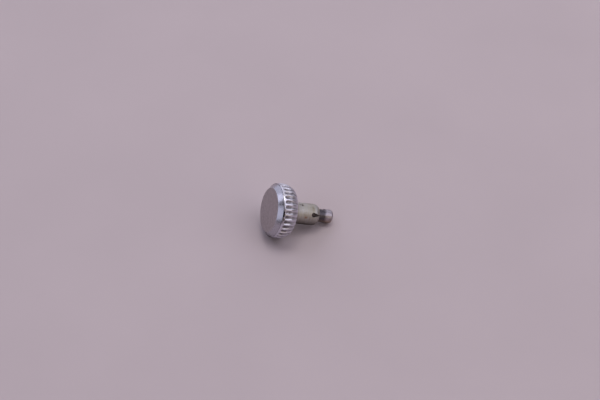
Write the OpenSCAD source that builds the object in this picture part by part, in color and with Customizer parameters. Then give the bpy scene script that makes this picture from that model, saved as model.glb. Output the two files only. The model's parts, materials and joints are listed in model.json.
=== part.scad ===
// Screw-down wristwatch crown with a sprung stem core, lying at rest on a table.
// Every piece is drawn on the crown's own axis, which runs from the face (0) to the tip,
// and lie_down() then sets that axis down on the barrel and the tip.
// All lengths are in millimetres and all angles in degrees.

/* [Fluted head] */
// Diameter over the flute crests
crown_d = 6.0; // [5.6:0.1:7.4]
// Length of the head from its face to its back edge
head_len = 2.28; // [2.1:0.02:2.9]
// Distance of the widest ring from the face
crest_at = 1.10; // [0.9:0.05:1.3]
// Diameter of the back edge
back_d = 5.16; // [4.9:0.02:5.3]
// Length of the straight band on the barrel, on which the crown lies
band_len = 0.36; // [0.2:0.02:0.5]
// Number of flutes
flute_count = 33; // [24:1:36]
// Radius of the flute cutter
flute_r = 0.21; // [0.15:0.01:0.24]
// Distance from the face at which a flute begins
flute_start = 0.68; // [0.6:0.02:0.9]
// Depth of a flute where it leaves the back edge
flute_back_depth = 0.06; // [0.02:0.01:0.12]

/* [Cap] */
// Diameter of the flat face
face_d = 4.76; // [4.2:0.02:5.2]
// Diameter at the foot of the bevel
bevel_d = 5.68; // [5.3:0.02:5.74]
// Thickness of the cap at its bevel
cap_len = 0.50; // [0.4:0.02:0.6]
// Rounding of the edge between face and bevel
face_edge_r = 0.06; // [0.02:0.01:0.1]
// Diameter of the spigot that is pressed into the fluted body
spigot_d = 3.8; // [3.2:0.1:4.4]
// Length of the spigot
spigot_len = 0.22; // [0.15:0.01:0.3]
// Width of the seam groove behind the bevel
seam_w = 0.06; // [0.03:0.01:0.1]
// Depth of the seam groove
seam_depth = 0.12; // [0.05:0.01:0.2]

/* [Recess and seal] */
// Inside diameter of the thread bush, over the thread's tips
thread_d = 3.5; // [3.3:0.05:3.8]
// Wall of the thread bush
bush_wall = 0.30; // [0.2:0.05:0.4]
// How far the bush lies inside the back edge
bush_setback = 0.04; // [0.0:0.01:0.1]
// Web between the cap's side and the recess
web_t = 0.22; // [0.15:0.01:0.3]
// Thickness of the gasket
gasket_t = 0.30; // [0.2:0.05:0.35]
// Clearance between gasket and tube
gasket_play = 0.01; // [0.01:0.01:0.05]
// Thickness of the gasket washer
washer_t = 0.08; // [0.05:0.01:0.12]
// Clearance between washer and tube
washer_play = 0.10; // [0.05:0.01:0.2]

/* [Spring tube] */
// Outside diameter of the tube
tube_d = 2.34; // [2.2:0.02:2.5]
// Wall of the tube
tube_wall = 0.27; // [0.25:0.01:0.29]
// Length of tube outside the head
tube_out = 3.32; // [3.0:0.02:4.0]
// Width of the flange that holds the tube in the web
flange_w = 0.28; // [0.15:0.01:0.35]
// Thickness of the flange
flange_t = 0.18; // [0.12:0.01:0.25]
// Thickness of the tube's closed end
tube_floor = 0.38; // [0.25:0.01:0.45]
// Length of the crimped end
crimp_len = 0.55; // [0.45:0.01:0.65]
// Outside diameter at the very end of the crimp
lip_d = 1.90; // [1.84:0.02:2.0]
// Length of the throat that guides the neck
throat_len = 0.33; // [0.25:0.01:0.4]
// Diameter of the two holes that end the slits
keyhole_d = 0.44; // [0.3:0.01:0.5]
// Distance of those holes from the end of the tube
keyhole_at = 0.77; // [0.7:0.01:0.9]
// Width of a slit at its hole
slit_w = 0.22; // [0.1:0.01:0.25]
// Width of a slit at the crimped end
slit_end_w = 0.05; // [0.03:0.01:0.1]
// Turn of the slits about the axis
slit_turn = 57; // [0:1:179]

/* [Stem core] */
// Diameter of the tip and of the neck's round sides
core_d = 1.50; // [1.44:0.01:1.52]
// Depth of each flat on the neck
flat_depth = 0.09; // [0.07:0.01:0.12]
// Clearance of the neck in the throat, all round
neck_play = 0.03; // [0.02:0.01:0.04]
// Clearance of the piston in the tube, all round
piston_play = 0.03; // [0.02:0.01:0.04]
// Play between piston and crimp when the core is out
end_play = 0.02; // [0.01:0.01:0.05]
// Travel of the core into the tube
travel = 0.70; // [0.5:0.05:0.9]
// Gap left between tip and tube at full travel
stop_play = 0.05; // [0.02:0.01:0.1]
// Length of the piston
piston_len = 0.87; // [0.7:0.01:1.0]
// Diameter of the spring pilot behind the piston
pilot_d = 0.84; // [0.6:0.02:0.92]
// Length of the spring pilot
pilot_len = 0.35; // [0.2:0.05:0.5]
// Length of the tip
tip_len = 1.05; // [0.9:0.05:1.4]
// Rounding of the tip's end
tip_round = 0.28; // [0.1:0.02:0.3]
// Diameter of the tapped hole over its thread's tips
tap_d = 0.70; // [0.6:0.02:0.76]
// Depth of the tapped hole
tap_depth = 1.20; // [0.8:0.05:1.6]

/* [Spring] */
// Wire of the spring
wire_d = 0.18; // [0.12:0.01:0.2]
// Outside diameter of the spring
spring_d = 1.42; // [1.34:0.02:1.6]
// Number of turns
spring_turns = 8; // [5:1:9]
// Clearance at each end of the spring
spring_play = 0.01; // [0.01:0.01:0.03]

/* [Hidden] */
$fn = 96;
// Reach of a cutting tool past the face that it cuts
over = 0.5;
// Small chamfers that break an edge
edge = 0.03;
// Angle of the crimp's inner cone and of the drill's point, to the axis
crimp_slope = 45;
drill_slope = 59;

// Stations along the axis, from the face towards the tip
flange_at = cap_len + spigot_len;
web_at = flange_at + flange_t;
recess_at = web_at + web_t;
washer_at = recess_at + gasket_t;
bush_at = washer_at + washer_t;
bush_end = head_len - bush_setback;
tube_floor_at = flange_at + tube_floor;
tube_end = head_len + tube_out;
crimp_at = tube_end - crimp_len;
throat_at = tube_end - throat_len;
tip_at = tube_end + travel + stop_play;
core_end = tip_at + tip_len;

// Diameters that follow from others
recess_d = thread_d + 2 * bush_wall;
flange_d = tube_d + 2 * flange_w;
bore_d = tube_d - 2 * tube_wall;
piston_d = bore_d - 2 * piston_play;
throat_d = core_d + 2 * neck_play;
flats_w = core_d - 2 * flat_depth;
throat_w = flats_w + 2 * neck_play;

// The throat opens into the bore through a cone, and the piston stops against that cone
cone_at = throat_at - (bore_d - throat_d) / 2 / tan(crimp_slope);
piston_end = cone_at + (bore_d - piston_d) / 2 / tan(crimp_slope) - end_play;
piston_at = piston_end - piston_len;

// The barrel is one arc through the widest ring and the back edge
barrel_drop = (crown_d - back_d) / 2;
barrel_run = head_len - crest_at;
barrel_r = (pow(barrel_run, 2) + pow(barrel_drop, 2)) / (2 * barrel_drop);
barrel_axis_r = crown_d / 2 - barrel_r;
// Distance of the straight band from the centre of that arc
band_r = sqrt(pow(barrel_r, 2) - pow(band_len / 2, 2));

// The crimp is one arc that leaves the tube without a corner
crimp_drop = (tube_d - lip_d) / 2;
crimp_r = (pow(crimp_len, 2) + pow(crimp_drop, 2)) / (2 * crimp_drop);

// Radius of the barrel at a distance from the face
function barrel_at(a) = barrel_axis_r + sqrt(pow(barrel_r, 2) - pow(a - crest_at, 2));

// Each flute's floor is a straight line from the barrel to a notch in the back edge
flute_top = barrel_at(flute_start);
flute_foot = back_d / 2 - flute_back_depth;
flute_slope = atan((flute_top - flute_foot) / (head_len - flute_start));

// How far the band on the barrel's crests and the tip reach below the face's centre at a tilt
crest_turn = asin(flute_r / (crown_d / 2));
function barrel_reach(t) =
    crest_at * sin(t)
    + barrel_axis_r * cos(crest_turn) * cos(t)
    + band_r * sqrt(pow(sin(t), 2) + pow(cos(crest_turn) * cos(t), 2));
function tip_reach(t) =
    (core_end - tip_round) * sin(t) + (core_d / 2 - tip_round) * cos(t) + tip_round;

// The crown rests where both reach the table, found by halving the interval
function settle(low, high, steps) =
    let (t = (low + high) / 2)
    steps == 0 ? t
    : barrel_reach(t) > tip_reach(t) ? settle(t, high, steps - 1)
    : settle(low, t, steps - 1);
tilt = settle(5, 45, 30);
axis_height = tip_reach(tilt);

// Ends of the lying crown along the table, which centre it on the origin
low_x = -face_d / 2 * sin(tilt);
high_x = (core_end - tip_round) * cos(tilt) + (core_d / 2 - tip_round) * sin(tilt) + tip_round;

// Sets the crown's axis down, tip towards +X and down
module lie_down() {
    translate([-(low_x + high_x) / 2, 0, axis_height])
        rotate([0, 90 + tilt, 0])
            children();
}

// A ring between two radii and two stations
module ring(inner_d, outer_d, from, to) {
    difference() {
        translate([0, 0, from])
            cylinder(d = outer_d, h = to - from);
        translate([0, 0, from - over])
            cylinder(d = inner_d, h = to - from + 2 * over);
    }
}

// A round bar with two flats, as the throat is cut
module two_flat_bar(d, across, from, to) {
    intersection() {
        translate([0, 0, from])
            cylinder(d = d, h = to - from);
        rotate([0, 0, slit_turn])
            translate([-d, -across / 2, from - over])
                cube([2 * d, across, to - from + 2 * over]);
    }
}

// Half section of the cap: flat face, rounded edge, bevel and spigot
module cap_section() {
    bevel_angle = atan2(cap_len - edge, (bevel_d - face_d) / 2);
    edge_centre = face_d / 2 - face_edge_r * tan(bevel_angle / 2);
    polygon(concat(
        [[0, 0]],
        [for (i = [0:4])
            let (turn = bevel_angle * i / 4)
            [edge_centre + face_edge_r * sin(turn), face_edge_r * (1 - cos(turn))]],
        [
            [bevel_d / 2, cap_len - edge],
            [bevel_d / 2 - edge / 2, cap_len],
            [spigot_d / 2, cap_len],
            [spigot_d / 2, flange_at - edge],
            [spigot_d / 2 - edge, flange_at],
            [0, flange_at],
        ]
    ));
}

// The polished cap with the crown's flat face
module face_cap() {
    color("lightslategray")
        lie_down()
            rotate_extrude()
                cap_section();
}

// Half section of the barrel, solid to the axis
module barrel_section() {
    intersection() {
        translate([barrel_axis_r, crest_at])
            circle(r = barrel_r);
        translate([barrel_axis_r, crest_at])
            rotate(tilt)
                translate([-crown_d, -crown_d])
                    square([crown_d + band_r, 2 * crown_d]);
        polygon([
            [0, cap_len],
            [bevel_d / 2 - seam_depth, cap_len],
            [bevel_d / 2 - seam_depth, cap_len + seam_w],
            [crown_d, cap_len + seam_w],
            [crown_d, head_len],
            [0, head_len],
        ]);
    }
}

// One straight cut of the round flute cutter, turned to its place
module flute(i) {
    rotate([0, 0, i * 360 / flute_count])
        translate([flute_foot, 0, head_len])
            rotate([0, -flute_slope, 0])
                translate([flute_r, 0, -head_len])
                    cylinder(r = flute_r, h = head_len + over);
}

// The fluted ring of the head, with its seats for the cap, tube and bush
module fluted_body() {
    color("silver")
        lie_down()
            difference() {
                rotate_extrude()
                    barrel_section();
                for (i = [0:flute_count - 1])
                    flute(i);
                translate([0, 0, cap_len - over])
                    cylinder(d = spigot_d, h = over + spigot_len);
                translate([0, 0, flange_at - over])
                    cylinder(d = flange_d, h = over + flange_t);
                cylinder(d = tube_d, h = head_len);
                translate([0, 0, recess_at])
                    cylinder(d = recess_d, h = head_len);
            }
}

// The bush that carries the inside thread, bored to the thread's tips
module thread_bush() {
    color("darkkhaki")
        lie_down()
            difference() {
                ring(thread_d, recess_d, bush_at, bush_end);
                translate([0, 0, bush_end - edge])
                    cylinder(d1 = thread_d, d2 = thread_d + 4 * edge, h = 2 * edge);
            }
}

// The flat gasket at the bottom of the recess
module gasket() {
    color("dimgray")
        lie_down()
            ring(tube_d + 2 * gasket_play, recess_d, recess_at, washer_at);
}

// The thin washer that holds the gasket down
module gasket_washer() {
    color("gainsboro")
        lie_down()
            ring(tube_d + 2 * washer_play, recess_d, washer_at, bush_at);
}

// Half section of the tube's outside: flange, barrel and crimped end
module tube_section() {
    translate([0, flange_at])
        square([flange_d / 2, flange_t]);
    translate([0, flange_at])
        square([tube_d / 2, crimp_at - flange_at]);
    intersection() {
        translate([tube_d / 2 - crimp_r, crimp_at])
            circle(r = crimp_r);
        translate([0, crimp_at - edge])
            square([tube_d / 2, crimp_len + edge]);
    }
}

// Half section of the tube's bore, which a cone narrows to the throat
module bore_section() {
    polygon([
        [0, tube_floor_at],
        [bore_d / 2, tube_floor_at],
        [bore_d / 2, cone_at],
        [throat_d / 2, throat_at],
        [0, throat_at],
    ]);
}

// One keyhole: a round hole and a slit that the crimp has almost closed
module keyhole() {
    hole_z = tube_end - keyhole_at;
    rotate([0, 0, slit_turn])
        rotate([90, 0, 90]) {
            translate([0, hole_z, 0])
                cylinder(d = keyhole_d, h = tube_d);
            linear_extrude(height = tube_d)
                polygon([
                    [-slit_w / 2, hole_z],
                    [slit_w / 2, hole_z],
                    [slit_end_w / 2, tube_end],
                    [slit_end_w / 2, tube_end + over],
                    [-slit_end_w / 2, tube_end + over],
                    [-slit_end_w / 2, tube_end],
                ]);
        }
}

// The nickel silver tube that holds spring and core, its end crimped round the neck
module spring_tube() {
    color("tan")
        lie_down()
            difference() {
                rotate_extrude()
                    tube_section();
                rotate_extrude()
                    bore_section();
                two_flat_bar(throat_d, throat_w, piston_at, tube_end + over);
                for (side = [0, 180])
                    rotate([0, 0, side])
                        keyhole();
            }
}

// Rings, sides and turns of the wound wire
coil_steps = 8;
coil_sides = 6;
coil_rings = spring_turns * coil_steps;
coil_r = (spring_d - wire_d) / 2;
coil_from = tube_floor_at + spring_play + wire_d / 2;
coil_to = piston_at - spring_play - wire_d / 2;

// Centre of the wire after a number of steps
function coil_point(i) = [
    coil_r * cos(i * 360 / coil_steps),
    coil_r * sin(i * 360 / coil_steps),
    coil_from + (coil_to - coil_from) * i / coil_rings,
];
// Corners of the wire's section after a number of steps
function coil_ring(i) = [
    for (j = [0:coil_sides - 1])
        let (
            turn = i * 360 / coil_steps,
            out = wire_d / 2 * cos(j * 360 / coil_sides),
            up = wire_d / 2 * sin(j * 360 / coil_sides)
        )
        coil_point(i) + [out * cos(turn), out * sin(turn), up],
];

// The steel spring that pushes the core out, wound as one wire
module compression_spring() {
    corners = [for (i = [0:coil_rings]) each coil_ring(i)];
    last = coil_rings * coil_sides;
    walls = [
        for (i = [0:coil_rings - 1], j = [0:coil_sides - 1])
            let (
                a = i * coil_sides + j,
                b = i * coil_sides + (j + 1) % coil_sides
            )
            each [
                [a, b, a + coil_sides],
                [b, b + coil_sides, a + coil_sides],
            ],
    ];
    start = [for (j = [1:coil_sides - 2]) [0, j + 1, j]];
    end = [for (j = [1:coil_sides - 2]) [last, last + j, last + j + 1]];
    color("slategray")
        lie_down()
            polyhedron(points = corners, faces = concat(walls, start, end));
}

// Half section of the bar that neck and tip are cut from, rounded at its end
module bar_section() {
    translate([0, piston_at])
        square([core_d / 2, core_end - tip_round - piston_at]);
    translate([0, piston_at])
        square([core_d / 2 - tip_round, core_end - piston_at]);
    translate([core_d / 2 - tip_round, core_end - tip_round])
        circle(r = tip_round);
}

// What is milled off the bar on each side to leave the neck's two flats
module flat_cuts() {
    for (side = [0, 180])
        rotate([0, 0, slit_turn + side])
            translate([-core_d, flats_w / 2, piston_end - edge])
                cube([2 * core_d, core_d, tip_at - piston_end + edge]);
}

// Half section of the tapped hole with the drill's point
module tap_section() {
    point_len = tap_d / 2 / tan(drill_slope);
    polygon([
        [0, core_end - tap_depth - point_len],
        [tap_d / 2, core_end - tap_depth],
        [tap_d / 2, core_end + over],
        [0, core_end + over],
    ]);
}

// The steel core: spring pilot, piston, flatted neck and tapped tip
module stem_core() {
    color("lightsteelblue")
        lie_down()
            difference() {
                union() {
                    translate([0, 0, piston_at - pilot_len])
                        cylinder(d = pilot_d, h = pilot_len + edge);
                    translate([0, 0, piston_at])
                        cylinder(d = piston_d, h = piston_len);
                    difference() {
                        rotate_extrude()
                            bar_section();
                        flat_cuts();
                    }
                }
                rotate_extrude()
                    tap_section();
            }
}

face_cap();
fluted_body();
thread_bush();
gasket();
gasket_washer();
spring_tube();
compression_spring();
stem_core();
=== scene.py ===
import json
import math
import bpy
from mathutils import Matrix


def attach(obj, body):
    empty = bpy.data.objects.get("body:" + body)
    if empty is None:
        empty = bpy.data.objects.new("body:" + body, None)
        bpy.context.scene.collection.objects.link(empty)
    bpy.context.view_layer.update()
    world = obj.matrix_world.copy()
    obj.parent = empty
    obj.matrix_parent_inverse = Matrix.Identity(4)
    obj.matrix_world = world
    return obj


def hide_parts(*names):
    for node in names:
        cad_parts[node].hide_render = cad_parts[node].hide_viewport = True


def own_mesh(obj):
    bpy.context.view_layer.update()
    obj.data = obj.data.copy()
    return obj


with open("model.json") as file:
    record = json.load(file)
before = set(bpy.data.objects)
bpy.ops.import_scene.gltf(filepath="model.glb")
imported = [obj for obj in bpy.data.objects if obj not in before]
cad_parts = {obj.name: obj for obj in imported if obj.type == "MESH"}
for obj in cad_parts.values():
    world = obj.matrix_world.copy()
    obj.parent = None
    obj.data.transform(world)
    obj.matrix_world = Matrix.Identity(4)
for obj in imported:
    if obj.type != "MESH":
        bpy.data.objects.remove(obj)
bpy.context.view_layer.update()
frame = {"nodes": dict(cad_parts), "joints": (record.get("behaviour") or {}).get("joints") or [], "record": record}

from types import SimpleNamespace

import bpy
from bpy.props import FloatProperty, FloatVectorProperty, IntProperty, PointerProperty
from mathutils import Matrix, Vector

bl_info = {
    "name": "Screw-down watch crown",
    "version": (1, 0, 0),
    "blender": (4, 5, 0),
    "location": "View3D > Sidebar > Crown",
    "description": "Models the pieces of a sprung, screw-down watch crown round its packed solids",
    "category": "Object",
}

MM = 0.001
NEAR = 0.001  # In millimetres: a ring closer than this to a station counts as on it


def mount(name):
    """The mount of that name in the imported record"""
    return next(m for m in frame["record"]["mounts"] if m["name"] == name)


# The crown's own axes: X down towards the table, Y to the side, Z along the axis from the face to the tip
FACE_CENTRE = Vector(mount("crown_face")["pos_m"])
TO_TIP = -Vector(mount("crown_face")["axis"]).normalized()
SIDEWAYS = Vector((0, 1, 0))
DOWN = SIDEWAYS.cross(TO_TIP)
LIE = (
    Matrix.Translation(FACE_CENTRE)
    @ Matrix((DOWN, SIDEWAYS, TO_TIP)).transposed().to_4x4()
    @ Matrix.Scale(MM, 4)
)
TILT = math.asin(-TO_TIP.z)


def span(node):
    """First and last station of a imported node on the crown's axis and its largest radius, in millimetres"""
    back = LIE.inverted()
    points = [back @ v.co for v in frame["nodes"][node].data.vertices]
    radius = max(math.hypot(p.x, p.y) for p in points)
    return SimpleNamespace(
        start=round(min(p.z for p in points), 3),
        end=round(max(p.z for p in points), 3),
        radius=round(radius, 2),
    )


HEAD = span("fluted_body")
CAP = span("face_cap")
BUSH = span("thread_bush")
GASKET = span("gasket")
WASHER = span("gasket_washer")
TUBE = span("spring_tube")
COIL = span("compression_spring")
CORE = span("stem_core")


def linear(code):
    """Turn an sRGB hex colour into the linear RGBA that sockets take"""
    parts = [int(code[i:i + 2], 16) / 255 for i in (1, 3, 5)]
    return (*[c / 12.92 if c <= 0.04045 else ((c + 0.055) / 1.055) ** 2.4 for c in parts], 1.0)


def length(name, size, about):
    """A length given in millimetres and kept in metres"""
    return FloatProperty(name=name, description=about, default=size * MM, min=0, unit="LENGTH", precision=5)


def rotation(name, degrees, about):
    """An angle given in degrees"""
    return FloatProperty(name=name, description=about, default=math.radians(degrees), unit="ROTATION")


def brightness(name, default, about):
    """The brightness of a light"""
    return FloatProperty(name=name, description="Brightness of " + about, default=default, min=0)


def colour(name, code, about):
    """A colour given as an sRGB hex value"""
    return FloatVectorProperty(
        name=name, description=about, default=linear(code), size=4, min=0, max=1, subtype="COLOR"
    )


class HeadSizes(bpy.types.PropertyGroup):
    crown_d: length("Crown diameter", 2 * HEAD.radius, "Diameter over the flute crests")
    head_len: length("Head length", HEAD.end, "From the face to the back edge")
    crest_at: length("Widest ring", 1.10, "Distance of the widest ring from the face")
    back_d: length("Back edge", 5.16, "Diameter of the back edge")
    band_len: length("Resting band", 0.36, "Length of the straight band on which the crown lies")
    face_d: length("Face", 4.76, "Diameter of the flat face")
    bevel_d: length("Bevel foot", 2 * CAP.radius, "Diameter at the foot of the bevel")
    cap_len: length("Cap", HEAD.start, "Thickness of the cap at its bevel")
    spigot_d: length("Spigot", 3.8, "Diameter of the spigot that is pressed into the fluted body")
    seam: length("Seam", 0.004, "Width of the joint line behind the bevel")
    seam_depth: length("Seam depth", 0.12, "Depth of that joint line")
    slit_w: length("Open seam", 0.15, "Width of the slit where the joint line gapes")
    slit_len: length("Slit length", 0.62, "Length of that slit round the head")
    slit_turn: rotation("Open seam's turn", -126.5, "Turn of that slit about the axis")
    flute_count: IntProperty(name="Flutes", description="Number of flutes", default=33, min=12)
    flute_r: length("Flute cutter", 0.26, "Radius of the flute cutter")
    flute_start: length("Flute start", 0.66, "Distance from the face at which a flute begins")
    flute_lead: length("Flute lead", 0.30, "Distance over which a flute reaches its full depth")
    flute_depth: length("Flute depth", 0.14, "Depth of a flute at its front end")
    flute_back: length("Flute depth at the back", 0.05, "Depth of a flute at the back edge")
    crest_wear: length("Crest wear", 0.03, "Depth over which a flute's edge is worn round")


class RecessSizes(bpy.types.PropertyGroup):
    recess_d: length("Recess", 2 * BUSH.radius, "Diameter of the recess behind the head")
    thread_d: length("Bush thread", 3.5, "Inside diameter over the bush thread's tips")
    thread_depth: length("Bush thread depth", 0.14, "Depth of the bush thread")
    thread_pitch: length("Bush pitch", 0.25, "Pitch of the bush thread")
    gasket_d: length("Gasket hole", 2.36, "Inside diameter of the gasket")
    washer_d: length("Washer hole", 2.54, "Inside diameter of the gasket washer")
    flange_d: length("Tube flange", 2 * TUBE.radius, "Diameter of the flange that holds the tube")
    flange_t: length("Flange thickness", 0.18, "Thickness of that flange")


class TubeSizes(bpy.types.PropertyGroup):
    tube_d: length("Tube", 2.34, "Outside diameter of the tube")
    bore_d: length("Bore", 1.8, "Inside diameter of the tube")
    crimp_len: length("Crimp length", 0.55, "Length of the crimped end")
    lip_d: length("Crimp lip", 1.90, "Outside diameter at the very end of the crimp")
    throat_d: length("Throat", 1.56, "Diameter of the throat that guides the neck")
    throat_w: length("Throat flats", 1.38, "Width of the throat across its two flats")
    throat_len: length("Throat length", 0.33, "Length of the throat")
    hole_d: length("Keyhole", 0.50, "Diameter of the hole that ends a slit")
    hole_at: length("Keyhole place", 0.77, "Distance of the hole from the end of the tube")
    slit_w: length("Slit", 0.46, "Width of a slit at its hole")
    slit_end_w: length("Slit end", 0.06, "Width of a slit at the crimped end")
    slit_turn: rotation("Slit turn", 50, "Turn of the slits about the axis")
    flats_turn: rotation("Flats turn", 57, "Turn of the throat's flats about the axis")


class CoreSizes(bpy.types.PropertyGroup):
    core_d: length("Tip", 1.5, "Diameter of the tip")
    flats_w: length("Neck flats", 1.32, "Width of the neck across its two flats")
    piston_d: length("Piston", 2 * CORE.radius, "Diameter of the piston inside the tube")
    piston_at: length("Piston start", 4.29, "Distance of the piston from the face")
    piston_len: length("Piston length", 0.87, "Length of the piston")
    pilot_d: length("Pilot", 0.84, "Diameter of the pilot that centres the spring")
    tip_at: length("Tip start", 6.50, "Distance of the tip from the face")
    tip_round: length("Tip round", 0.28, "Rounding of the tip's end")
    tap_d: length("Tapped hole", 0.70, "Diameter of the tapped hole over its thread's tips")
    tap_thread: length("Tap thread depth", 0.07, "Depth of the thread in the tapped hole")
    tap_pitch: length("Tap pitch", 0.225, "Pitch of the thread in the tapped hole")
    tap_depth: length("Tap depth", 1.2, "Depth of the tapped hole")


class SpringSizes(bpy.types.PropertyGroup):
    wire_d: length("Wire", 0.18, "Diameter of the spring's wire")
    spring_d: length("Coil", 1.42, "Outside diameter of the spring")
    turns: IntProperty(name="Turns", description="Number of turns of the spring", default=8, min=3)
    travel: length("Travel", frame["joints"][0]["range_m"][1] / MM, "Travel of the core into the tube")


class Finishes(bpy.types.PropertyGroup):
    steel: colour("Steel", "#B4B2BB", "Stainless steel where it is clean and polished")
    crest_steel: colour("Crest steel", "#CFCDD9", "Stainless steel rubbed bright on the flute crests")
    face_steel: colour("Face steel", "#D4CCCF", "Brushed steel of the flat face")
    # Dark brown: real old grease, and also painted shade on the undersides, in the flutes and the open seam, at
    # the tube's foot and on the core inside the tube
    grime_and_shade: colour("Grime", "#3A2E28", "Old grease and dirt that settles in flutes and seams")
    nickel_silver: colour("Nickel silver", "#BAB6AC", "Dull nickel silver of the tube")
    tarnish: colour("Tarnish", "#75674F", "Yellow-brown tarnish on the nickel silver")
    rust: colour("Rust", "#8A5A3A", "Rust-brown spots")
    # Dark steel: the neck's colour, and painted shade on the core inside the tube. Also used for fine dark lines
    # and mottling
    neck_steel: colour("Neck steel", "#4E4A50", "Steel that has gone dark at the neck")
    tip_steel: colour("Tip steel", "#A39CA6", "Bright turned steel of the tip")
    # A brown layer laid only on the undersides of the tip and neck: painted shade
    film_and_shade: colour("Brown film", "#A58A70", "Thin brown film of dried oil on the tip")
    brass: colour("Brass", "#B39A62", "Turned brass of the bush")
    rubber: colour("Rubber", "#1B1B1D", "Black nitrile rubber of the gasket")
    wire: colour("Spring wire", "#8E8C90", "Drawn spring wire")
    floor: colour("Floor", "#C6B8BC", "Pale mauve grey paper under the crown")


class StageSettings(bpy.types.PropertyGroup):
    distance: length("Camera distance", 180, "From the camera to the point it looks at")
    lens: FloatProperty(name="Lens", description="Focal length in millimetres", default=100, min=20)
    floor_size: length("Floor", 1200, "Side of the square floor")
    light_away: length("Light distance", 600, "From the crown to each light")
    world: brightness("Surroundings", 0.05, "the surroundings")
    pane_back: brightness("Back pane", 1.7, "the window's back pane")
    pane_front: brightness("Front pane", 1.0, "the window's front pane")
    right: brightness("Right panel", 1.52, "the panel on the right")
    back_left: brightness("Back left panel", 0.9, "the panel behind, on the left")
    back_right: brightness("Back right panel", 0.88, "the panel behind, on the right")
    front_right: brightness("Front right panel", 0.70, "the low panel in front, on the right")
    above: brightness("Panel above", 3.9, "the small panel above")


GROUPS = {
    "crown_head": HeadSizes,
    "crown_recess": RecessSizes,
    "crown_tube": TubeSizes,
    "crown_core": CoreSizes,
    "crown_spring": SpringSizes,
    "crown_finishes": Finishes,
    "crown_stage": StageSettings,
}


def in_mm(group):
    """The values of a property group, its lengths turned into millimetres"""
    values = {}
    for key in group.__annotations__:
        value, prop = getattr(group, key), group.bl_rna.properties[key]
        values[key] = value / MM if prop.type == "FLOAT" and prop.unit == "LENGTH" else value
    return SimpleNamespace(**values)


# Modelling. Pieces are shaped in millimetres on the crown's own axes, and settle() lays them down.

def deselect():
    """Leave edit mode and select nothing"""
    if bpy.context.object and bpy.context.object.mode != "OBJECT":
        bpy.ops.object.mode_set(mode="OBJECT")
    bpy.ops.object.select_all(action="DESELECT")


def choose(piece):
    """Select one object alone and make it the active one"""
    deselect()
    piece.select_set(True)
    bpy.context.view_layer.objects.active = piece


def name_it(name):
    """Name the object that was just added, and its data"""
    piece = bpy.context.object
    piece.name = piece.data.name = name
    return piece


def pick(piece, test, kind="VERT"):
    """In edit mode, select what passes a test of its place: vertices, or edges on an open border"""
    bpy.ops.mesh.select_all(action="DESELECT")
    bpy.ops.mesh.select_mode(type="VERT")
    if kind == "BORDER":
        bpy.ops.mesh.select_non_manifold(
            use_wire=False, use_multi_face=False, use_non_contiguous=False, use_verts=False
        )
    bpy.ops.object.mode_set(mode="OBJECT")
    for v in piece.data.vertices:
        v.select = (v.select or kind == "VERT") and test(v.co)
    for e in piece.data.edges:
        e.select = all(piece.data.vertices[i].select for i in e.vertices)
    for f in piece.data.polygons:
        f.select = kind == "VERT" and all(piece.data.vertices[i].select for i in f.vertices)
    bpy.ops.object.mode_set(mode="EDIT")


def draw_out(section):
    """Extrude the selected ring along a half section of (radius, station) corners"""
    radius, station = section[0]
    for next_radius, next_station in section[1:]:
        bpy.ops.mesh.extrude_edges_move(TRANSFORM_OT_translate={"value": (0, 0, next_station - station)})
        if abs(next_radius - radius) > 1e-7:
            share = next_radius / radius
            bpy.ops.transform.resize(value=(share, share, 1), center_override=(0, 0, next_station))
        radius, station = next_radius, next_station


def turned(name, section, steps, ends="CAPPED"):
    """Turn a half section about the axis, its ends CAPPED with flat faces, SHUT together or left OPEN"""
    deselect()
    radius, station = section[0]
    fill = "NGON" if ends == "CAPPED" else "NOTHING"
    bpy.ops.mesh.primitive_circle_add(vertices=steps, radius=radius, fill_type=fill)
    piece = name_it(name)
    bpy.ops.object.mode_set(mode="EDIT")
    bpy.ops.mesh.select_all(action="SELECT")
    bpy.ops.transform.translate(value=(0, 0, station))
    draw_out(section)
    if ends == "CAPPED":
        bpy.ops.mesh.edge_face_add()
    if ends == "SHUT":
        bpy.ops.mesh.select_all(action="SELECT")
        bpy.ops.mesh.remove_doubles(threshold=1e-4)
    face_outwards()
    return piece


def face_outwards():
    """Turn all faces outwards and go back to object mode"""
    bpy.ops.mesh.select_all(action="SELECT")
    bpy.ops.mesh.normals_make_consistent(inside=False)
    bpy.ops.object.mode_set(mode="OBJECT")


def eased(corners, steps=4):
    """A half section from (radius, station, ease) corners, each rounded by its ease"""
    section = []
    for i, (r, a, ease) in enumerate(corners):
        here = Vector((r, a))
        if not ease or i in (0, len(corners) - 1):
            section.append((r, a))
            continue
        before = (Vector(corners[i - 1][:2]) - here).normalized()
        after = (Vector(corners[i + 1][:2]) - here).normalized()
        half = before.angle(after) / 2
        centre = here + (before + after).normalized() * ease / math.sin(half)
        start = here + before * ease / math.tan(half) - centre
        end = here + after * ease / math.tan(half) - centre
        sweep = math.atan2(start.cross(end), start.dot(end))
        for k in range(steps + 1):
            section.append(tuple(centre + Matrix.Rotation(sweep * k / steps, 2) @ start))
    return section


def press(piece, depth, share):
    """Press a sleeve's wall in towards the axis by depth, times each vertex's share of it"""
    wall = piece.vertex_groups.new(name="wall")
    for v in piece.data.vertices:
        wall.add([v.index], min(max(share(v.co), 0.0), 1.0), "REPLACE")
    first = piece.data.vertices[0]
    outwards = first.normal.x * first.co.x + first.normal.y * first.co.y > 0
    shift = piece.modifiers.new("wall", "DISPLACE")
    shift.vertex_group = "wall"
    shift.direction = "NORMAL"
    shift.mid_level = 0
    shift.strength = -depth if outwards else depth
    bpy.ops.object.modifier_apply(modifier=shift.name)
    piece.vertex_groups.clear()


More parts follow.
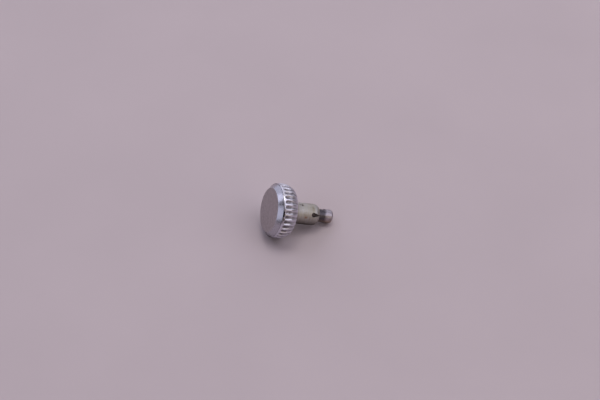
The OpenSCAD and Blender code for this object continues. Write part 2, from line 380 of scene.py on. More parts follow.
def threaded(name, tips, depth, pitch, start, end, rows, steps, through=False):
    """A tapped hole's wall: a sleeve over the thread's roots, with a V thread pressed in to its tips. The
    thread runs out at the end, and at the start unless it goes through there."""
    stations = [start + (end - start) * i / rows for i in range(rows + 1)]
    piece = turned(name, [(tips + depth, a) for a in stations], steps, ends="OPEN")
    first = start - pitch if through else start
    flat_root = 1.2

    def ridge(place):
        turn = place.z / pitch - math.atan2(place.y, place.x) / math.tau
        flank = abs(turn % 1 - 0.5) * 2
        fade = min((place.z - first) / pitch, (end - place.z) / pitch, 1.0)
        return 1 - max(fade, 0.0) * min(flat_root * flank, 1.0)

    press(piece, depth, ridge)
    return piece


def second_skin(section, steps):
    """Give the piece another skin along a half section, and stay in edit mode"""
    bpy.ops.object.mode_set(mode="EDIT")
    bpy.ops.mesh.select_all(action="DESELECT")
    radius, station = section[0]
    bpy.ops.mesh.primitive_circle_add(vertices=steps, radius=radius, location=(0, 0, station))
    draw_out(section)


def join_rims(piece, station):
    """In edit mode, join the open rims of two skins at a station"""
    pick(piece, lambda place: abs(place.z - station) < NEAR, kind="BORDER")
    bpy.ops.mesh.bridge_edge_loops()


def bar(name, radius, start, end, across, turn):
    """A round bar with two flats, for cutting"""
    deselect()
    bpy.ops.mesh.primitive_cylinder_add(
        vertices=128, radius=radius, depth=end - start, location=(0, 0, (start + end) / 2)
    )
    piece = name_it(name)
    bpy.ops.object.transform_apply(location=True, rotation=False, scale=False)
    bpy.ops.object.mode_set(mode="EDIT")
    for side in (1, -1):
        normal = Vector((-math.sin(turn), math.cos(turn), 0)) * side
        bpy.ops.mesh.select_all(action="SELECT")
        bpy.ops.mesh.bisect(plane_co=normal * across / 2, plane_no=normal, use_fill=True, clear_outer=True)
    face_outwards()
    return piece


def block(name, low, high, turn):
    """A block between two corners, turned about the axis, for cutting"""
    deselect()
    bpy.ops.mesh.primitive_cube_add(size=1)
    piece = name_it(name)
    low, high = Vector(low), Vector(high)
    bpy.ops.object.mode_set(mode="EDIT")
    bpy.ops.mesh.select_all(action="SELECT")
    bpy.ops.transform.resize(value=high - low, center_override=(0, 0, 0))
    bpy.ops.transform.translate(value=(low + high) / 2)
    bpy.ops.object.mode_set(mode="OBJECT")
    piece.data.transform(Matrix.Rotation(turn, 4, "Z"))
    return piece


def cut(piece, cutter):
    """Cut a cutter out of a piece and throw the cutter away"""
    choose(piece)
    away = piece.modifiers.new("cut", "BOOLEAN")
    away.operation = "DIFFERENCE"
    away.solver = "EXACT"
    away.object = cutter
    bpy.ops.object.modifier_apply(modifier=away.name)
    bpy.data.meshes.remove(cutter.data)


def settle(piece, node, body, material, crease=30):
    """Shade a piece, lay it down in its place, give it its material, hang it on its body and hide the imported
    part that it stands for
    """
    choose(piece)
    bpy.ops.object.shade_smooth_by_angle(angle=math.radians(crease))
    piece.data.transform(LIE)
    piece.data.update()
    piece.data.materials.clear()
    piece.data.materials.append(material(bpy.context.scene.crown_finishes))
    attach(piece, body)
    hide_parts(node)


# Materials. Patterns are laid out in millimetres on the crown's own axes. Sockets that share a name are
# given by number. Map Range takes value 0 from the range 1 to 2 to the range 3 to 4, and Mix blends by share
# 0 from 2 to 3 for numbers and from 6 to 7 for colours.

def add(tree, kind, inputs=(), **settings):
    """Add a shader node with its settings, set or link its inputs, and return its outputs"""
    node = tree.nodes.new("ShaderNode" + kind)
    for key, value in settings.items():
        setattr(node, key, value)
    for socket, value in dict(inputs).items():
        if isinstance(value, bpy.types.NodeSocket):
            tree.links.new(value, node.inputs[socket])
        else:
            node.inputs[socket].default_value = value
    return node.outputs


def new_material(name):
    """A material with an empty node tree"""
    material = bpy.data.materials.new(name)
    material.use_nodes = True
    material.node_tree.nodes.clear()
    return material, material.node_tree


def crown_material(name):
    """A material, its tree, and the place on the crown's own axes in millimetres"""
    material, tree = new_material(name)
    here = add(tree, "TexCoord")["Object"]
    shift, turn, scale = LIE.inverted().decompose()
    lay_back = {"Location": shift, "Rotation": turn.to_euler(), "Scale": scale}
    return material, tree, add(tree, "Mapping", {"Vector": here, **lay_back})[0]


def streaks(tree, place, size, detail=3.0, rough=0.5, turn=(0, 0, 0)):
    """A pattern drawn out, with the size of its features along each axis"""
    drawn = add(tree, "Mapping", {0: place, "Rotation": turn, "Scale": size}, vector_type="TEXTURE")[0]
    return add(tree, "TexNoise", {0: drawn, "Scale": 1.0, "Detail": detail, "Roughness": rough})[0]


def coated(tree, base, *coats):
    """A colour under thin coats of others. A coat goes from its least share to its most, where its pattern
    goes from low to high."""
    for pattern, low, high, least, most, coat in coats:
        share = add(tree, "MapRange", {0: pattern, 1: low, 2: high, 3: least, 4: most})[0]
        base = add(tree, "Mix", {0: share, 6: base, 7: coat}, data_type="RGBA")[2]
    return base


def surfaced(material, base, rough, relief, depth, metal=1.0, ior=1.5):
    """Give a material its surface, with a relief of some depth, and hand it back"""
    tree = material.node_tree
    normal = add(tree, "Bump", {"Height": relief, "Distance": depth * MM})[0]
    surface = {"Base Color": base, "Metallic": metal, "Roughness": rough, "IOR": ior, "Normal": normal}
    add(tree, "OutputMaterial", {0: add(tree, "BsdfPrincipled", surface)[0]})
    return material


def cap_material(finish):
    """Stainless steel: a dull face with fine brush lines, and a bright polished bevel with faint dents"""
    material, tree, place = crown_material("stainless_steel_brushed_and_polished")
    axes = add(tree, "SeparateXYZ", {0: place})
    down, along = axes["X"], axes["Z"]
    on_bevel = add(tree, "MapRange", {0: along, 1: 0.01, 2: 0.05})[0]

    # The face: brush lines 0.06 mm apart, three times as coarse as the real ones, so that they show, and
    # dirty patches up to 0.3 mm wide
    brush = streaks(tree, place, (0.06, 1.8, 0.2), detail=5.0, rough=0.75, turn=(0, 0, 0.8))
    mottle = add(tree, "TexNoise", {0: place, "Scale": 3.5, "Detail": 7.0, "Roughness": 0.8})[0]
    face = coated(
        tree, finish.face_steel,
        (mottle, 0.42, 0.70, 0.1, 0.42, finish.grime_and_shade),
        (brush, 0.32, 0.68, 0.0, 0.42, finish.neck_steel),
    )

    # The bevel: a few dark specks, and painted shade along the lowest part of its foot, partly grease
    specks = add(tree, "TexNoise", {0: place, "Scale": 4.0, "Detail": 8.0, "Roughness": 0.8})[0]
    specks_and_shade = add(tree, "MapRange", {0: specks, 1: 0.58, 2: 0.75, 3: 0.0, 4: 0.4})[0]
    reach = add(tree, "Math", {0: mottle, 1: 1.2, 2: down}, operation="MULTIPLY_ADD")[0]
    low = add(tree, "MapRange", {0: reach, 1: 2.0, 2: 2.8})[0]
    foot = add(tree, "MapRange", {0: along, 1: 0.36, 2: 0.46, 3: 0.0, 4: 0.9})[0]
    grease_and_shade = add(tree, "Math", {0: low, 1: foot}, operation="MULTIPLY")[0]
    specks_and_shade = add(tree, "Math", {0: specks_and_shade, 1: grease_and_shade}, operation="MAXIMUM")[0]
    bevel = add(tree, "Mix", {0: specks_and_shade, 6: finish.steel, 7: finish.grime_and_shade}, data_type="RGBA")[2]

    satin = add(tree, "MapRange", {0: mottle, 1: 0.3, 2: 0.7, 3: 0.36, 4: 0.50})[0]
    gloss = add(tree, "MapRange", {0: specks, 1: 0.3, 2: 0.7, 3: 0.21, 4: 0.31})[0]
    rough = add(tree, "Mix", {0: on_bevel, 2: satin, 3: gloss})[0]
    dents = add(tree, "TexNoise", {0: place, "Scale": 1.5, "Detail": 2.0})[0]
    lumps = add(tree, "Mix", {0: on_bevel, 2: brush, 3: dents})[0]
    base = add(tree, "Mix", {0: on_bevel, 6: face, 7: bevel}, data_type="RGBA")[2]
    return surfaced(material, base, rough, lumps, 0.012)


def flute_material(finish):
    """Stainless steel, fluted and worn bright on the crests, with brown grease and painted shade low in the
    flutes, in the open seam and on the underside
    """
    material, tree, place = crown_material("stainless_steel_fluted_and_worn")
    down = add(tree, "SeparateXYZ", {0: place})["X"]
    groove = add(tree, "Attribute", attribute_name="groove")["Fac"]
    patches = add(tree, "TexNoise", {0: place, "Scale": 2.4, "Detail": 5.0, "Roughness": 0.65})[0]
    grit = add(tree, "TexNoise", {0: place, "Scale": 15.0, "Detail": 3.0, "Roughness": 0.6})[0]

    # The flutes are darker the deeper they go, partly grease and partly painted shade, more in some patches than
    # in others
    uneven = add(tree, "MapRange", {0: patches, 1: 0.3, 2: 0.7, 3: -0.3, 4: 0.45})[0]
    depth = add(tree, "Math", {0: groove, 1: uneven}, operation="ADD")[0]
    grease_and_shade = add(tree, "MapRange", {0: depth, 1: 0.3, 2: 1.0, 3: 0.0, 4: 0.78})[0]
    # The open seam, deeper than any flute, is painted almost black inside with painted shade
    packed = add(tree, "MapRange", {0: groove, 1: 1.1, 2: 1.6, 3: 0.0, 4: 0.97})[0]
    dirt_and_shade = add(tree, "Math", {0: grease_and_shade, 1: packed}, operation="MAXIMUM")[0]
    # Painted shade darkens the underside up to a ragged edge, partly grease
    reach = add(tree, "Math", {0: uneven, 1: 0.7, 2: down}, operation="MULTIPLY_ADD")[0]
    under = add(tree, "MapRange", {0: reach, 1: 1.60, 2: 2.25, 3: 0.0, 4: 0.93})[0]
    dirt_and_shade = add(tree, "Math", {0: dirt_and_shade, 1: under}, operation="MAXIMUM")[0]
    base = add(tree, "Mix", {0: dirt_and_shade, 6: finish.crest_steel, 7: finish.grime_and_shade}, data_type="RGBA")[2]

    # Dents and scratches of wear, 0.06 mm and up
    rough = add(tree, "MapRange", {0: dirt_and_shade, 1: 0.0, 2: 0.6, 3: 0.28, 4: 0.46})[0]
    wear = add(tree, "Mix", {0: 0.35, 2: patches, 3: grit})[0]
    return surfaced(material, base, rough, wear, 0.020)


def tube_material(finish):
    """Nickel silver, turned and dull: pale grey, tarnished yellow-brown, with painted shade, partly real soiling,
    at its foot and underneath
    """
    material, tree, place = crown_material("nickel_silver_tarnished")
    axes = add(tree, "SeparateXYZ", {0: place})
    down, along = axes["X"], axes["Z"]
    # Turning marks 0.08 mm apart, three times as coarse as the real feed, so that they show
    marks = streaks(tree, place, (2.5, 2.5, 0.08), rough=0.6)
    clouds = add(tree, "TexNoise", {0: place, "Scale": 1.3, "Detail": 6.0, "Roughness": 0.65})[0]
    pits = add(tree, "TexNoise", {0: place, "Scale": 4.5, "Detail": 8.0, "Roughness": 0.8})[0]
    specks = add(tree, "TexNoise", {0: place, "Scale": 8.0, "Detail": 4.0, "Roughness": 0.6})[0]

    # Tarnish in clouds, bright turning marks, dark dots, and painted shade, partly real soiling, on the underside
    # and at the foot
    base = coated(
        tree, finish.nickel_silver,
        (clouds, 0.40, 0.70, 0.08, 0.62, finish.tarnish),
        (marks, 0.40, 0.66, 0.0, 0.6, finish.steel),
        (pits, 0.55, 0.72, 0.0, 0.6, finish.grime_and_shade),
        (down, -0.4, 0.7, 0.0, 0.86, finish.grime_and_shade),
        (along, 3.2, 2.5, 0.0, 0.55, finish.grime_and_shade),
    )

    # One rust spot and two dark stains with ragged edges, each given by its turn about the axis in degrees,
    # its distance from the face, its size, its strength and its colour
    radius = in_mm(bpy.context.scene.crown_tube).tube_d / 2
    ragged = 0.5
    half_ragged = Vector((ragged,) * 3) / 2
    wobble = add(tree, "TexNoise", {0: place, "Scale": 4.0, "Detail": 6.0, "Roughness": 0.7})["Color"]
    wobbly = add(tree, "VectorMath", {0: wobble, 1: (ragged,) * 3, 2: place}, operation="MULTIPLY_ADD")[0]
    for turn, station, size, most, stain in (
        (-114, 3.93, 0.20, 0.75, finish.rust),
        (178, 3.52, 0.17, 0.90, finish.grime_and_shade),
        (176, 3.24, 0.14, 0.85, finish.grime_and_shade),
    ):
        spot = Matrix.Rotation(math.radians(turn), 3, "Z") @ Vector((radius, 0, station)) + half_ragged
        away = add(tree, "VectorMath", {0: wobbly, 1: spot}, operation="DISTANCE")["Value"]
        base = coated(tree, base, (away, size, size / 3, 0.0, most, stain))

    rough = add(tree, "MapRange", {0: specks, 1: 0.3, 2: 0.7, 3: 0.46, 4: 0.60})[0]
    relief = add(tree, "Mix", {0: 0.35, 2: marks, 3: pits})[0]
    return surfaced(material, base, rough, relief, 0.018)


def core_material(finish):
    """Turned steel: dark at the neck, with painted shade on the core inside the tube, bright at the tip, and with
    painted shade underneath as a brown layer
    """
    material, tree, place = crown_material("turned_steel_dark_neck_bright_tip")
    axes = add(tree, "SeparateXYZ", {0: place})
    down, along = axes["X"], axes["Z"]
    # Turning marks 0.045 mm apart, twice as coarse as the real feed, so that they show
    marks = streaks(tree, place, (2.0, 2.0, 0.045))
    clouds = add(tree, "TexNoise", {0: place, "Scale": 2.5, "Detail": 5.0, "Roughness": 0.65})[0]

    # The dark colour ends raggedly near the place where the tip starts, and further out on the underside
    uneven = add(tree, "MapRange", {0: clouds, 1: 0.3, 2: 0.7, 3: -0.12, 4: 0.12})[0]
    lower = add(tree, "MapRange", {0: down, 1: -0.2, 2: 0.7, 3: 0.0, 4: -0.22})[0]
    uneven = add(tree, "Math", {0: uneven, 1: lower}, operation="ADD")[0]
    edge = add(tree, "Math", {0: along, 1: uneven}, operation="ADD")[0]
    # The tip is bright steel, with painted shade on its underside laid on as a brown layer
    tip = coated(
        tree, finish.tip_steel,
        (down, -0.35, 0.25, 0.0, 0.75, finish.film_and_shade),
        (clouds, 0.48, 0.66, 0.0, 0.35, finish.tarnish),
    )
    # The neck is dark steel; the core inside the tube is painted dark as painted shade, darker still deeper in,
    # with painted shade underneath as a brown layer
    neck = coated(
        tree, finish.neck_steel,
        (down, -0.2, 0.2, 0.0, 0.35, finish.film_and_shade),
        (along, 5.6, 5.3, 0.0, 0.4, finish.grime_and_shade),
    )
    base = coated(tree, neck, (edge, 6.30, 6.60, 0.0, 1.0, tip))

    rough = add(tree, "MapRange", {0: marks, 1: 0.3, 2: 0.7, 3: 0.24, 4: 0.36})[0]
    return surfaced(material, base, rough, marks, 0.007)


def bush_material(finish):
    """Brass, turned and tapped: yellow, bright on the thread's flanks, brown where grease has dried"""
    material, tree, place = crown_material("turned_brass")
    # Turning marks 0.05 mm apart, twice as coarse as the real feed, so that they show
    marks = streaks(tree, place, (2.0, 2.0, 0.05))
    clouds = add(tree, "TexNoise", {0: place, "Scale": 1.7, "Detail": 5.0, "Roughness": 0.6})[0]
    base = coated(tree, finish.brass, (clouds, 0.45, 0.7, 0.0, 0.5, finish.grime_and_shade))
    rough = add(tree, "MapRange", {0: marks, 1: 0.3, 2: 0.7, 3: 0.22, 4: 0.36})[0]
    return surfaced(material, base, rough, marks, 0.006)


def rubber_material(finish):
    """Nitrile rubber, moulded: matt black with a faint grain, greyer where it has been rubbed"""
    material, tree, place = crown_material("nitrile_rubber_moulded")
    grain = add(tree, "TexNoise", {0: place, "Scale": 18.0, "Detail": 3.0, "Roughness": 0.6})[0]
    clouds = add(tree, "TexNoise", {0: place, "Scale": 1.5, "Detail": 3.0})[0]
    base = coated(tree, finish.rubber, (clouds, 0.4, 0.7, 0.0, 0.12, finish.nickel_silver))
    rough = add(tree, "MapRange", {0: grain, 1: 0.3, 2: 0.7, 3: 0.55, 4: 0.75})[0]
    return surfaced(material, base, rough, grain, 0.006, metal=0.0, ior=1.52)


def washer_material(finish):
    """Stainless steel shim, stamped and tumbled: even grey satin with fine scratches both ways"""
    material, tree, place = crown_material("stainless_steel_shim")
    scratch = streaks(tree, place, (0.03, 0.3, 0.3), rough=0.7)
    other = streaks(tree, place, (0.3, 0.03, 0.3), rough=0.7)
    both = add(tree, "Math", {0: scratch, 1: other}, operation="MAXIMUM")[0]
    base = coated(tree, finish.steel, (both, 0.5, 0.8, 0.0, 0.7, finish.neck_steel))
    rough = add(tree, "MapRange", {0: both, 1: 0.4, 2: 0.8, 3: 0.24, 4: 0.4})[0]
    return surfaced(material, base, rough, both, 0.004)


def wire_material(finish):
    """Spring steel wire, cold drawn: grey and smooth under a patchy coat of brown oil"""
    material, tree, place = crown_material("spring_steel_wire")
    clouds = add(tree, "TexNoise", {0: place, "Scale": 2.0, "Detail": 3.0})[0]
    grain = add(tree, "TexNoise", {0: place, "Scale": 20.0, "Detail": 3.0})[0]
    base = coated(tree, finish.wire, (clouds, 0.4, 0.7, 0.0, 0.4, finish.grime_and_shade))
    rough = add(tree, "MapRange", {0: grain, 1: 0.3, 2: 0.7, 3: 0.2, 4: 0.34})[0]
    return surfaced(material, base, rough, grain, 0.003)


def floor_material(finish):
    """Matt paper: pale mauve grey with a very faint unevenness"""
    material, tree = new_material("matt_paper")
    here = add(tree, "TexCoord")["Object"]
    clouds = add(tree, "TexNoise", {0: here, "Scale": 60.0, "Detail": 4.0})[0]
    base = coated(tree, finish.floor, (clouds, 0.3, 0.7, 0.0, 0.05, finish.neck_steel))
    grain = add(tree, "TexNoise", {0: here, "Scale": 9000.0, "Detail": 2.0})[0]
    return surfaced(material, base, 0.85, grain, 0.004, metal=0.0)


class CROWN_OT_cap(bpy.types.Operator):
    """Model the smooth cap with its flat face and bevel"""
    bl_idname = "crown.cap"
    bl_label = "Cap"

    def execute(self, context):
        size = in_mm(context.scene.crown_head)
        middle, foot, end = 0.9, size.cap_len, CAP.end
        edge_in, edge_len = 0.004, 0.006
        section = eased([
            (middle, 0, 0),
            (size.face_d / 2, 0, 0.05),
            (size.bevel_d / 2, foot - edge_len, 0.003),
            (size.bevel_d / 2 - edge_in, foot, 0),
            (size.spigot_d / 2, foot, 0),
            (size.spigot_d / 2, end, 0.03),
            (middle, end, 0),
        ])
        piece = turned("polished_cap", section, steps=256)
        settle(piece, "face_cap", "head", cap_material)
        return {"FINISHED"}


class CROWN_OT_fluted_body(bpy.types.Operator):
    """Model the fluted, barrel-shaped ring of the head with its recess"""
    bl_idname = "crown.fluted_body"
    bl_label = "Fluted body"

    def execute(self, context):
        size = in_mm(context.scene.crown_head)
        recess = in_mm(context.scene.crown_recess)
        tube = in_mm(context.scene.crown_tube)
        radius, back = size.crown_d / 2, size.head_len
        front = size.cap_len + size.seam

        # The barrel is one arc, with a short straight band at the slope on which the crown lies
        drop, run = radius - size.back_d / 2, back - size.crest_at
        arc = (run ** 2 + drop ** 2) / (2 * drop)
        band = math.sqrt(arc ** 2 - (size.band_len / 2) ** 2)

        def barrel(a):
            on_arc = math.sqrt(arc ** 2 - (a - size.crest_at) ** 2)
            on_band = (band - (a - size.crest_at) * math.sin(TILT)) / math.cos(TILT)
            return radius - arc + min(on_arc, on_band)

        # A flute is cut by a round cutter that sinks in along a curve and then rises slowly towards the back
        pitch = math.tau / size.flute_count
        full_at = size.flute_start + size.flute_lead

        def flute(a, turn):
            off = ((turn / pitch + 0.5) % 1 - 0.5) * pitch
            sunk = min(max((a - size.flute_start) / size.flute_lead, 0), 1)
            rise = max((a - full_at) / (back - full_at), 0)
            deep = (size.flute_depth + (size.flute_back - size.flute_depth) * rise) * sunk * (2 - sunk)
            side = min(radius * abs(math.sin(off)), size.flute_r)
            wall = size.flute_r - math.sqrt(size.flute_r ** 2 - side ** 2)
            return barrel(a) - deep + wall

        # The crests are worn round, and the front and back edges eased
        eases = (0.004, 0.02)

        def skin(a, turn):
            full, cut_to = barrel(a), flute(a, turn)
            close = max(size.crest_wear - abs(full - cut_to), 0) / size.crest_wear
            worn = close ** 2 * size.crest_wear / 4 if a > size.flute_start else 0
            r = min(full, cut_to) - worn
            for gap, ease in zip((a - front, back - a), eases):
                if gap < ease:
                    r -= ease - math.sqrt(ease ** 2 - min(ease - gap, ease) ** 2)
            return r

        # The skin's rings lie close together at both edges and evenly between them
        first, last, rings = front + 0.05, back - 0.02, 55
        stations = [front + gap for gap in (0, 0.001, 0.002, 0.004)]
        stations += [first + (last - first) * i / rings for i in range(rings + 1)]
        stations += [back - gap for gap in (0.014, 0.008, 0.003, 0)]
        steps, deepest = 24 * size.flute_count, 0.6
        piece = turned("fluted_body_skin", [(radius, a) for a in stations], steps, ends="OPEN")
        press(piece, deepest, lambda place: (radius - skin(place.z, math.atan2(place.y, place.x))) / deepest)

        # The inside, from the back edge through the recess and the seats of tube and cap to the seam
        rim, seam = 2.42, size.bevel_d / 2 - size.seam_depth
        floor, seat = GASKET.start, TUBE.start
        flange = seat + recess.flange_t
        second_skin(eased([
            (rim, back, 0),
            (recess.recess_d / 2, back, 0.02),
            (recess.recess_d / 2, floor, 0),
            (tube.tube_d / 2, floor, 0),
            (tube.tube_d / 2, flange, 0),
            (recess.flange_d / 2, flange, 0),
            (recess.flange_d / 2, seat, 0),
            (size.spigot_d / 2, seat, 0),
            (size.spigot_d / 2, size.cap_len, 0),
            (seam, size.cap_len, 0),
            (seam, front, 0),
        ]), steps)
        join_rims(piece, back)
        join_rims(piece, front)
        face_outwards()

        # The seam gapes over one short length
        half, sunk, clear = size.slit_len / 2, 0.35, 0.1
        low = (radius - sunk, -half, front - clear / 2)
        high = (radius + clear, half, front + size.slit_w)
        cut(piece, block("open_seam", low, high, size.slit_turn))

        # Each place's depth below the barrel, in flute depths, tells the material where to lay grease and painted
        # shade; the inside and the back edge are given set depths, so they are painted with shade too
        skin_from, inside_depth, edge_depth, edge = 2.45, 0.8, 0.4, 0.03
        groove = piece.data.attributes.new("groove", "FLOAT", "POINT")
        for v in piece.data.vertices:
            r = math.hypot(v.co.x, v.co.y)
            depth = edge_depth if v.co.z > back - edge else inside_depth
            if front <= v.co.z <= back and r > skin_from:
                depth = min(max((barrel(v.co.z) - r) / size.flute_depth, 0), 2)
            groove.data[v.index].value = depth
        settle(piece, "fluted_body", "head", flute_material, crease=40)
        return {"FINISHED"}


class CROWN_OT_thread_bush(bpy.types.Operator):
    """Model the brass bush with its inside thread"""
    bl_idname = "crown.thread_bush"
    bl_label = "Thread bush"

    def execute(self, context):
        size = in_mm(context.scene.crown_recess)
        start, end, outer = BUSH.start, BUSH.end, BUSH.radius
        tips, steps = size.thread_d / 2, 160
        piece = threaded(
            "thread_bush_skin", tips, size.thread_depth, size.thread_pitch, start, end, rows=72, steps=steps,
            through=True,
        )
        rim, ease = tips + 0.2, 0.02
        second_skin(eased([(rim, end, 0), (outer, end, ease), (outer, start, ease), (rim, start, 0)]), steps)
        join_rims(piece, start)
        join_rims(piece, end)
        face_outwards()
        settle(piece, "thread_bush", "head", bush_material, crease=40)
        return {"FINISHED"}


class CROWN_OT_seal(bpy.types.Operator):
    """Model the rubber gasket and the thin steel washer that keeps it down"""
    bl_idname = "crown.seal"
    bl_label = "Gasket and washer"

    def execute(self, context):
        size = in_mm(context.scene.crown_recess)
        for name, node, place, hole, ease, slot, material in (
            ("gasket_ring", "gasket", GASKET, size.gasket_d, 0.07, "gasket_rubber", rubber_material),
            ("washer_ring", "gasket_washer", WASHER, size.washer_d, 0.02, "washer_steel", washer_material),
        ):
            start, end, inner, outer = place.start, place.end, hole / 2, place.radius
            middle = (inner + outer) / 2
            section = eased([
                (middle, start, 0), (inner, start, ease), (inner, end, ease),
                (outer, end, ease), (outer, start, ease), (middle, start, 0),
            ])
            settle(turned(name, section, steps=128, ends="SHUT"), node, "head", material)
        return {"FINISHED"}


class CROWN_OT_spring_tube(bpy.types.Operator):
    """Model the crimped tube with its two keyholes"""
    bl_idname = "crown.spring_tube"
    bl_label = "Spring tube"

    def execute(self, context):
        size = in_mm(context.scene.crown_tube)
        recess = in_mm(context.scene.crown_recess)
        start, end, outer = TUBE.start, TUBE.end, size.tube_d / 2

        # The crimp is an arc from the tube's full width to its lip
        crimp, drop, arc_steps = end - size.crimp_len, outer - size.lip_d / 2, 16
        arc = (size.crimp_len ** 2 + drop ** 2) / (2 * drop)
        curve = []
        for i in range(arc_steps):
            on = size.crimp_len * i / arc_steps
            curve.append((outer - arc + math.sqrt(arc ** 2 - on ** 2), crimp + on, 0))

        # The throat's two flats are cut afterwards, out of a bore that is too narrow by an inset
        middle, play, inset = 0.3, 0.01, 0.05
        flange, floor, cone = start + recess.flange_t, COIL.start - play, end - size.throat_len
        section = eased([
            (middle, start, 0),
            (recess.flange_d / 2, start, 0.02),
            (recess.flange_d / 2, flange, 0.02),
            (outer, flange, 0),
            *curve,
            (size.lip_d / 2, end, 0.03),
            (size.throat_w / 2 - inset, end, 0),
            (size.throat_w / 2 - inset, cone, 0),
            (size.bore_d / 2, cone - (size.bore_d - size.throat_d) / 2, 0),
            (size.bore_d / 2, floor, 0),
            (middle, floor, 0),
        ])
        piece = turned("spring_tube_skin", section, steps=256)
        low, high = cone - 0.2, end + 0.5
        cut(piece, bar("throat", size.throat_d / 2, low, high, size.throat_w, size.flats_turn))

        # Both keyholes are made in one go: a hole right through, then a slit that narrows to the crimped end
        hole_at, through, clear = end - size.hole_at, 4, 0.1
        across = Matrix.Rotation(size.slit_turn, 4, "Z")
        deselect()
        bpy.ops.mesh.primitive_cylinder_add(vertices=64, radius=size.hole_d / 2, depth=through)
        hole = name_it("keyhole")
        sideways = Matrix.Rotation(math.pi / 2, 4, "Y")
        hole.data.transform(Matrix.Translation((0, 0, hole_at)) @ across @ sideways)
        cut(piece, hole)
        low = (-through / 2, -size.slit_w / 2, hole_at)
        slit = block("slit", low, (through / 2, size.slit_w / 2, end + clear), 0)
        bpy.ops.object.mode_set(mode="EDIT")
        pick(slit, lambda place: place.z > end)
        bpy.ops.transform.resize(value=(1, size.slit_end_w / size.slit_w, 1), center_override=(0, 0, end))
        bpy.ops.object.mode_set(mode="OBJECT")
        slit.data.transform(across)
        cut(piece, slit)
        settle(piece, "spring_tube", "head", tube_material)
        return {"FINISHED"}


class CROWN_OT_spring(bpy.types.Operator):
    """Wind the spring inside the tube"""
    bl_idname = "crown.spring"
    bl_label = "Spring"

    def execute(self, context):
        size = in_mm(context.scene.crown_spring)
        wire, middle = size.wire_d / 2, (size.spring_d - size.wire_d) / 2
        start, end = COIL.start + wire, COIL.end - wire
        deselect()
        bpy.ops.mesh.primitive_circle_add(vertices=16, radius=wire, fill_type="NGON")
        piece = name_it("coil_spring")
        bpy.ops.object.mode_set(mode="EDIT")
        bpy.ops.mesh.select_all(action="SELECT")
        bpy.ops.transform.rotate(value=math.pi / 2, orient_axis="X", center_override=(0, 0, 0))
        bpy.ops.transform.translate(value=(middle, 0, start))
        bpy.ops.mesh.delete(type="ONLY_FACE")
        bpy.ops.object.mode_set(mode="OBJECT")
        wind = piece.modifiers.new("wind", "SCREW")
        wind.axis = "Z"
        wind.iterations = size.turns
        wind.screw_offset = (end - start) / size.turns
        wind.steps = wind.render_steps = 48
        bpy.ops.object.modifier_apply(modifier=wind.name)
        bpy.ops.object.mode_set(mode="EDIT")
        pick(piece, lambda place: True, kind="BORDER")
        bpy.ops.mesh.edge_face_add()
        face_outwards()
        settle(piece, "compression_spring", "head", wire_material, crease=50)
        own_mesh(piece)
        return {"FINISHED"}


class CROWN_OT_stem_core(bpy.types.Operator):
    """Model the core: spring pilot, piston, flatted neck and tapped tip"""
    bl_idname = "crown.stem_core"
    bl_label = "Stem core"

    def execute(self, context):
        size = in_mm(context.scene.crown_core)
        turn = in_mm(context.scene.crown_tube).flats_turn
        start, end, countersink = CORE.start, CORE.end, 0.05
        pilot, piston, neck = size.pilot_d / 2, size.piston_d / 2, size.core_d / 2
        step_at, step_end = size.piston_at, size.piston_at + size.piston_len

        # The tapped hole, from its bottom to its mouth under the countersink
        tips, steps = size.tap_d / 2, 128
        bottom, mouth = end - size.tap_depth, end - countersink
        piece = threaded(
            "stem_core_skin", tips, size.tap_thread, size.tap_pitch, bottom, mouth, rows=90, steps=steps
        )

        # The outside, from the mouth to the pilot's end, and the drill's cone at the bottom of the hole
        middle = 0.1
        second_skin(eased([
            (tips, mouth, 0),
            (tips + countersink, end, 0.01),
            (neck, end, size.tip_round),
            (neck, step_end, 0),
            (piston, step_end, 0.03),
            (piston, step_at, 0.03),
            (pilot, step_at, 0),
            (pilot, start, 0.05),
            (middle, start, 0),
        ], steps=8), steps)
        bpy.ops.mesh.edge_face_add()
        join_rims(piece, mouth)
        pick(piece, lambda place: abs(place.z - bottom) < NEAR, kind="BORDER")
        cone = [(tips, bottom), (middle, bottom - 0.15), (0.02, bottom - 0.2)]
        draw_out(cone)
        bpy.ops.mesh.edge_face_add()
        face_outwards()

        # The neck's two flats
        wide, overlap = 1.5, 0.03
        for side in (0, math.pi):
            low = (-wide, size.flats_w / 2, step_end - overlap)
            cut(piece, block("flat", low, (wide, wide, size.tip_at), turn + side))
        settle(piece, "stem_core", "core", core_material)
        return {"FINISHED"}


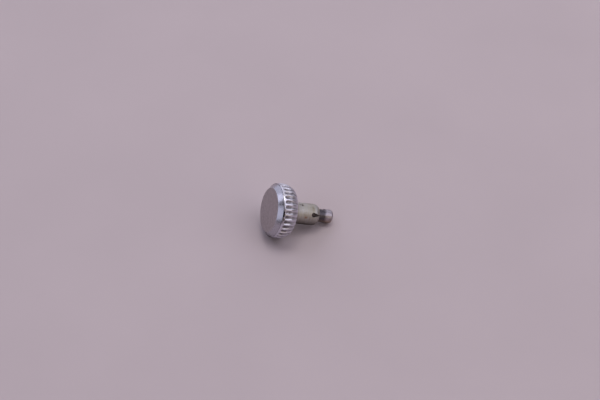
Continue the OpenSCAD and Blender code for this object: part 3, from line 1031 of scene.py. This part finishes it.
class CROWN_OT_stage(bpy.types.Operator):
    """Lay the floor and set up the lights and the camera"""
    bl_idname = "crown.stage"
    bl_label = "Stage"

    def execute(self, context):
        stage = context.scene.crown_stage
        deselect()
        bpy.ops.mesh.primitive_plane_add(size=stage.floor_size)
        floor = name_it("floor")
        floor.data.materials.append(floor_material(context.scene.crown_finishes))

        daylight, white, lamplight = "#E6E9FF", "#F2F2FF", "#FFD8B8"
        world = bpy.data.worlds.new("soft_surroundings")
        world.use_nodes = True
        sky = world.node_tree.nodes["Background"].inputs
        sky["Color"].default_value = linear(lamplight)
        sky["Strength"].default_value = stage.world
        context.scene.world = world

        # Soft panels, each with its direction, width in millimetres, brightness and colour. The window's two
        # panes show as two bright zones on the bevel. The small panel above darkens the shadow's middle.
        middle = Vector((0, 0, 3 * MM))
        for name, towards, wide, bright, code in (
            ("window_pane_back", (-0.52, 0.36, 0.76), 320, stage.pane_back, daylight),
            ("window_pane_front", (-0.79, -0.36, 0.50), 540, stage.pane_front, daylight),
            ("right_panel", (0.62, -0.22, 0.75), 600, stage.right, white),
            ("back_left_panel", (-0.28, 0.86, 0.42), 620, stage.back_left, daylight),
            ("back_right_panel", (0.50, 0.75, 0.45), 700, stage.back_right, white),
            ("front_right_panel", (0.52, -0.74, 0.30), 500, stage.front_right, "#FFEEDC"),
            ("panel_above", (0.06, 0.17, 0.98), 290, stage.above, "#FFFCFA"),
        ):
            deselect()
            way = Vector(towards).normalized()
            bpy.ops.object.light_add(type="AREA", location=middle + way * stage.light_away)
            light = name_it(name)
            light.rotation_euler = way.to_track_quat("Z", "Y").to_euler()
            light.data.shape = "DISK"
            light.data.size = wide * MM
            light.data.energy = bright * (math.pi * wide * MM / 2) ** 2
            light.data.color = linear(code)[:3]

        # The photograph looks down by 46 degrees, turned 13 degrees round from square on
        back = Vector((-0.1556, -0.6796, 0.7169))
        aim = Vector((0.435, 0.512, 3.481)) * MM
        deselect()
        bpy.ops.object.camera_add(location=aim + back * stage.distance)
        camera = name_it("camera")
        camera.rotation_euler = back.to_track_quat("Z", "Y").to_euler()
        camera.data.lens = stage.lens
        camera.data.sensor_width = 36
        camera.data.clip_start, camera.data.clip_end = 0.01, 10
        context.scene.camera = camera
        context.scene.view_settings.view_transform = "Standard"
        return {"FINISHED"}


PIECES = (
    CROWN_OT_cap,
    CROWN_OT_fluted_body,
    CROWN_OT_thread_bush,
    CROWN_OT_seal,
    CROWN_OT_spring_tube,
    CROWN_OT_spring,
    CROWN_OT_stem_core,
    CROWN_OT_stage,
)


class CROWN_PT_sidebar(bpy.types.Panel):
    """Sizes, finishes and steps of the crown"""
    bl_idname = "CROWN_PT_sidebar"
    bl_label = "Watch crown"
    bl_space_type = "VIEW_3D"
    bl_region_type = "UI"
    bl_category = "Crown"

    def draw(self, context):
        for key, group in GROUPS.items():
            box = self.layout.box()
            box.label(text=key.replace("crown_", "").capitalize())
            for prop in group.__annotations__:
                box.prop(getattr(context.scene, key), prop)
        for piece in PIECES:
            self.layout.operator(piece.bl_idname)


CLASSES = (*GROUPS.values(), *PIECES, CROWN_PT_sidebar)


def register():
    for cls in CLASSES:
        bpy.utils.register_class(cls)
    for key, group in GROUPS.items():
        setattr(bpy.types.Scene, key, PointerProperty(type=group))


def unregister():
    for key in GROUPS:
        delattr(bpy.types.Scene, key)
    for cls in reversed(CLASSES):
        bpy.utils.unregister_class(cls)


def main():
    register()
    bpy.ops.crown.cap()
    bpy.ops.crown.fluted_body()
    bpy.ops.crown.thread_bush()
    bpy.ops.crown.seal()
    bpy.ops.crown.spring_tube()
    bpy.ops.crown.spring()
    bpy.ops.crown.stem_core()
    bpy.ops.crown.stage()


if __name__ == "__main__":
    main()
